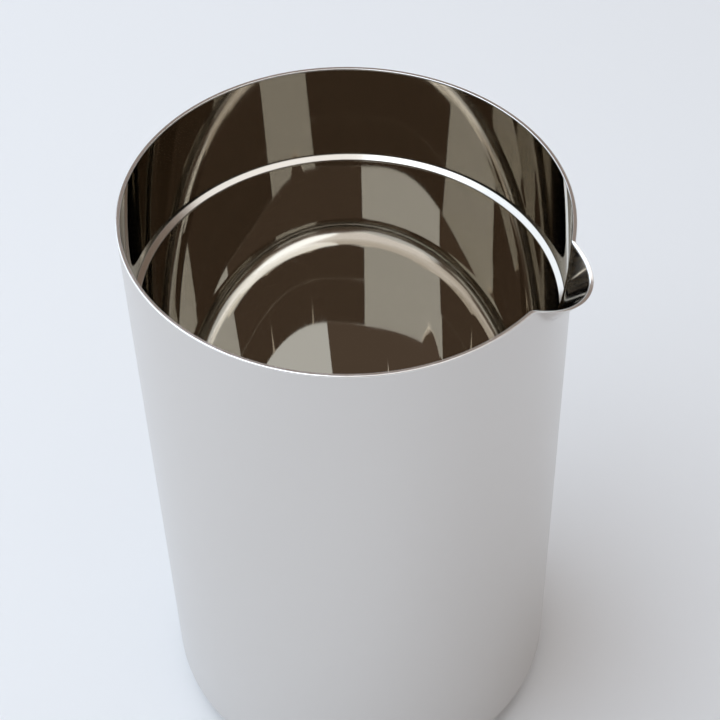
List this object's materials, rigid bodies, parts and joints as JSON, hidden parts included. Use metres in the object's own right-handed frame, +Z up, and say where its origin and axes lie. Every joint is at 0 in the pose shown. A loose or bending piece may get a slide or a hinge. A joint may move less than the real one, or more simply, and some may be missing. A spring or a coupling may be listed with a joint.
{
  "type": "mixing vessel",
  "caption": "Straight-sided double-wall steel mixing vessel with an open mouth, rounded base edge, inner shoulder ring and a pressed pouring spout for stirring and pouring drinks.",
  "frame": {"origin": "centre of the flat underside, on the surface the vessel stands on", "axes": "+Z up along the vessel's axis towards the mouth; +X from the axis towards the pouring spout; +Y to its left"},
  "size_m": [0.0955, 0.0878, 0.14],
  "materials": {
    "satin_steel": "fine satin, brushed round the body",
    "polished_steel": "polished, with faint drawing and turning marks",
    "ground_steel": "ground flush and polished",
    "plain_steel": "mill finish",
    "weld_steel": "as welded",
    "cover_steel": "satin, turned in circles",
    "adhesive": "dull silicone",
    "solder_glass": "dark opaque solder glass",
    "getter_tray_steel": "mill finish",
    "getter_powder": "dull pressed metal powder",
    "bright_foil": "bright thin foil"
  },
  "bodies": {
    "root": {"outer_shell": "satin_steel", "inner_liner": "polished_steel", "rim_weld": "ground_steel", "base_pan": "plain_steel", "base_weld": "weld_steel", "base_cover": "cover_steel", "cover_adhesive": "adhesive", "seal_plug": "solder_glass", "getter_tray": "getter_tray_steel", "getter_pellet": "getter_powder", "foil_wrap": "bright_foil", "foil_disc": "bright_foil"}
  },
  "joints": []
}
